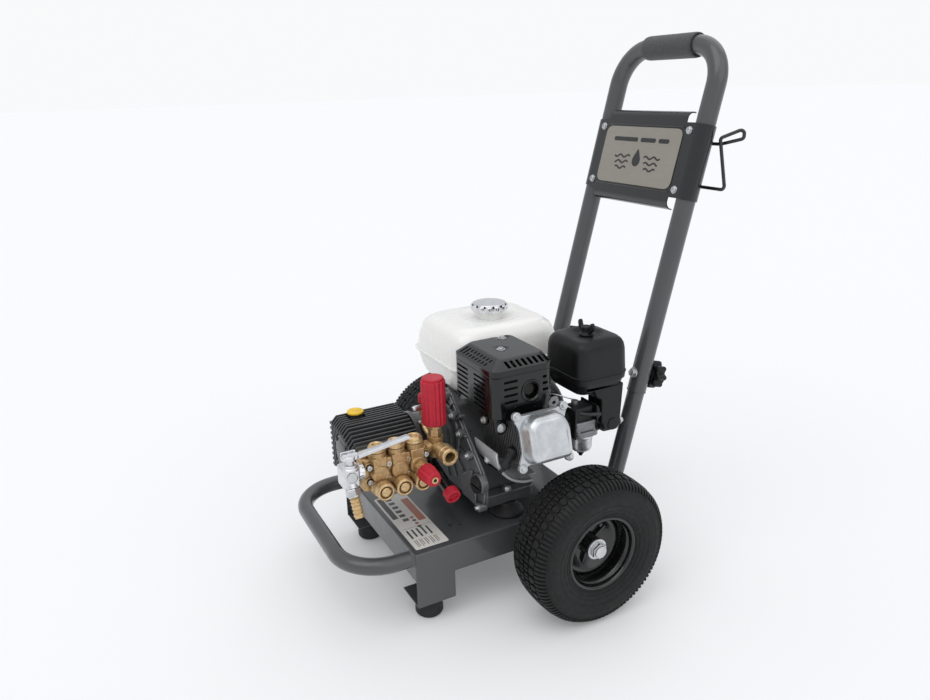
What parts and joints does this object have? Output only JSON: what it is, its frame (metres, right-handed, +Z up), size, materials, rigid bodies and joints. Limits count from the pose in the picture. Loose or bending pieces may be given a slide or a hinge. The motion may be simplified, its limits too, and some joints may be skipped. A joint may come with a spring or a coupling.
{
  "type": "engine-driven pressure washer",
  "caption": "Petrol engine driven triplex pressure washer pump on a steel hand cart with pneumatic wheels, front bumper and a tall removable handle.",
  "frame": {"origin": "middle of the footprint on the ground, under the feet and tyres", "axes": "+Z up, +Y from the bumper to the handle, +X to the left of an operator who stands at the handle"},
  "size_m": [0.64, 0.7872, 0.9459],
  "materials": {
    "frame_paint": "glossy dark grey powder coat",
    "black_gloss": "glossy black powder coat",
    "black_satin": "satin black paint on cast aluminium",
    "black_plastic": "satin black moulded plastic",
    "rubber": "black rubber",
    "tyre": "black tyre rubber",
    "foam": "dark grey foam grip",
    "name_plate_metal": "brushed champagne metal",
    "zinc": "zinc plated steel and nickel plated brass",
    "cap_chrome": "bright plated cap",
    "brass": "cast brass with a tumbled surface",
    "engine_casting": "dark grey painted casting",
    "bare_aluminium": "cast aluminium with a satin surface",
    "muffler_steel": "heat-stained pressed steel",
    "tank_white": "glossy white paint",
    "red_plastic": "semi-gloss red moulded plastic",
    "yellow_plastic": "yellow moulded plastic"
  },
  "bodies": {
    "root": {"deck_plate": "frame_paint", "bumper_tube": "frame_paint", "socket_tube_left": "frame_paint", "socket_tube_right": "frame_paint", "foot_left": "rubber", "foot_right": "rubber", "engine_mount_left": "rubber", "engine_mount_right_front": "rubber", "engine_mount_right_rear": "rubber", "spark_plug_boot": "rubber", "axle": "zinc", "inlet_valve_block": "zinc", "pump_crankcase": "black_satin", "muffler_guard": "black_plastic", "air_cleaner_base": "black_plastic", "air_cleaner_cover": "black_plastic", "blower_housing": "black_plastic", "recoil_cover": "black_plastic", "drain_tube": "black_plastic", "engine_block": "engine_casting", "crankcase_cover": "engine_casting", "pump_flange": "engine_casting", "exhaust_muffler": "muffler_steel", "cylinder_head": "bare_aluminium", "valve_cover": "bare_aluminium", "carburetor": "bare_aluminium", "cylinder_shroud": "bare_aluminium", "fuel_tank": "tank_white", "pump_manifold": "brass", "unloader_body": "brass", "hose_nipple": "brass", "discharge_plug_1": "brass", "suction_plug_1": "brass", "discharge_plug_2": "brass", "suction_plug_2": "brass", "discharge_plug_3": "brass", "suction_plug_3": "brass"},
    "handle": {"handle_tube": "frame_paint", "handle_grip": "foam", "handle_panel": "black_gloss", "name_plate": "name_plate_metal", "hose_hooks": "black_gloss"},
    "wheel_left": {"tyre_left": "tyre", "rim_left": "black_gloss"},
    "wheel_right": {"tyre_right": "tyre", "rim_right": "black_gloss"},
    "clamp_knob_left": {"clamp_knob_left": "black_plastic"},
    "clamp_knob_right": {"clamp_knob_right": "black_plastic"},
    "crankshaft": {"crankshaft": "zinc"},
    "unloader_knob": {"unloader_knob": "red_plastic"},
    "injector_knob": {"injector_knob": "red_plastic"},
    "drain_cap": {"drain_cap": "red_plastic"},
    "pump_oil_cap": {"pump_oil_cap": "yellow_plastic"},
    "fuel_cap": {"fuel_cap": "cap_chrome"},
    "air_cleaner_nut": {"air_cleaner_nut": "black_plastic"},
    "oil_dipstick": {"oil_dipstick": "black_plastic"},
    "inlet_lever": {"inlet_lever": "zinc"},
    "throttle_lever": {"throttle_lever": "zinc"},
    "choke_lever": {"choke_lever": "black_plastic"},
    "recoil_grip": {"recoil_grip": "black_plastic"}
  },
  "joints": [
    {"name": "handle_lift", "type": "slide", "parent": "root", "child": "handle", "axis": [0, 0.2607, 0.9654], "range_m": [0, 0.12]},
    {"name": "clamp_left_turn", "type": "hinge", "parent": "handle", "child": "clamp_knob_left", "pos_m": [0.1334, 0.21653, 0.35], "axis": [0, 0.9654, -0.2607], "range_deg": [0, 720]},
    {"name": "clamp_right_turn", "type": "hinge", "parent": "handle", "child": "clamp_knob_right", "pos_m": [-0.1334, 0.21653, 0.35], "axis": [0, 0.9654, -0.2607], "range_deg": [0, 720]},
    {"name": "wheel_left_spin", "type": "hinge", "parent": "root", "child": "wheel_left", "pos_m": [0.272, 0.00213, 0.131], "axis": [1, 0, 0], "continuous": true},
    {"name": "wheel_right_spin", "type": "hinge", "parent": "root", "child": "wheel_right", "pos_m": [-0.272, 0.00213, 0.131], "axis": [1, 0, 0], "continuous": true},
    {"name": "crankshaft_spin", "type": "hinge", "parent": "root", "child": "crankshaft", "pos_m": [0.015, -0.07487, 0.272], "axis": [0, 1, 0], "continuous": true},
    {"name": "unloader_turn", "type": "hinge", "parent": "root", "child": "unloader_knob", "pos_m": [0.083, -0.18787, 0.36], "axis": [0, 0, 1], "range_deg": [-720, 720]},
    {"name": "injector_turn", "type": "hinge", "parent": "root", "child": "injector_knob", "pos_m": [0.15, -0.23287, 0.268], "axis": [1, 0, 0], "range_deg": [0, 720]},
    {"name": "drain_cap_turn", "type": "hinge", "parent": "root", "child": "drain_cap", "pos_m": [0.14788, -0.19087, 0.21764], "axis": [0.9511, 0, -0.309], "range_deg": [0, 720]},
    {"name": "pump_oil_cap_turn", "type": "hinge", "parent": "root", "child": "pump_oil_cap", "pos_m": [-0.022, -0.29187, 0.325], "axis": [0, 0, 1], "range_deg": [0, 720]},
    {"name": "fuel_cap_turn", "type": "hinge", "parent": "root", "child": "fuel_cap", "pos_m": [-0.07, 0.00913, 0.46], "axis": [0, 0, 1], "range_deg": [0, 90]},
    {"name": "air_cleaner_nut_turn", "type": "hinge", "parent": "root", "child": "air_cleaner_nut", "pos_m": [0.129, 0.09213, 0.46], "axis": [0, 0, 1], "range_deg": [0, 1080]},
    {"name": "oil_dipstick_turn", "type": "hinge", "parent": "root", "child": "oil_dipstick", "pos_m": [0.147, -0.13987, 0.223], "axis": [0, -1, 0], "range_deg": [0, 1080]},
    {"name": "inlet_lever_turn", "type": "hinge", "parent": "root", "child": "inlet_lever", "pos_m": [0.1205, -0.35487, 0.316], "axis": [0, 0, -1], "range_deg": [0, 90]},
    {"name": "throttle_turn", "type": "hinge", "parent": "root", "child": "throttle_lever", "pos_m": [0.07, 0.03013, 0.342], "axis": [0, 1, 0], "range_deg": [-25, 25]},
    {"name": "choke_turn", "type": "hinge", "parent": "root", "child": "choke_lever", "pos_m": [0.186, 0.07643, 0.296], "axis": [0, 1, 0], "range_deg": [0, 60]},
    {"name": "recoil_pull", "type": "slide", "parent": "root", "child": "recoil_grip", "axis": [-1, 0, 0], "range_m": [0, 0.5], "stiffness_N_per_m": 20}
  ]
}
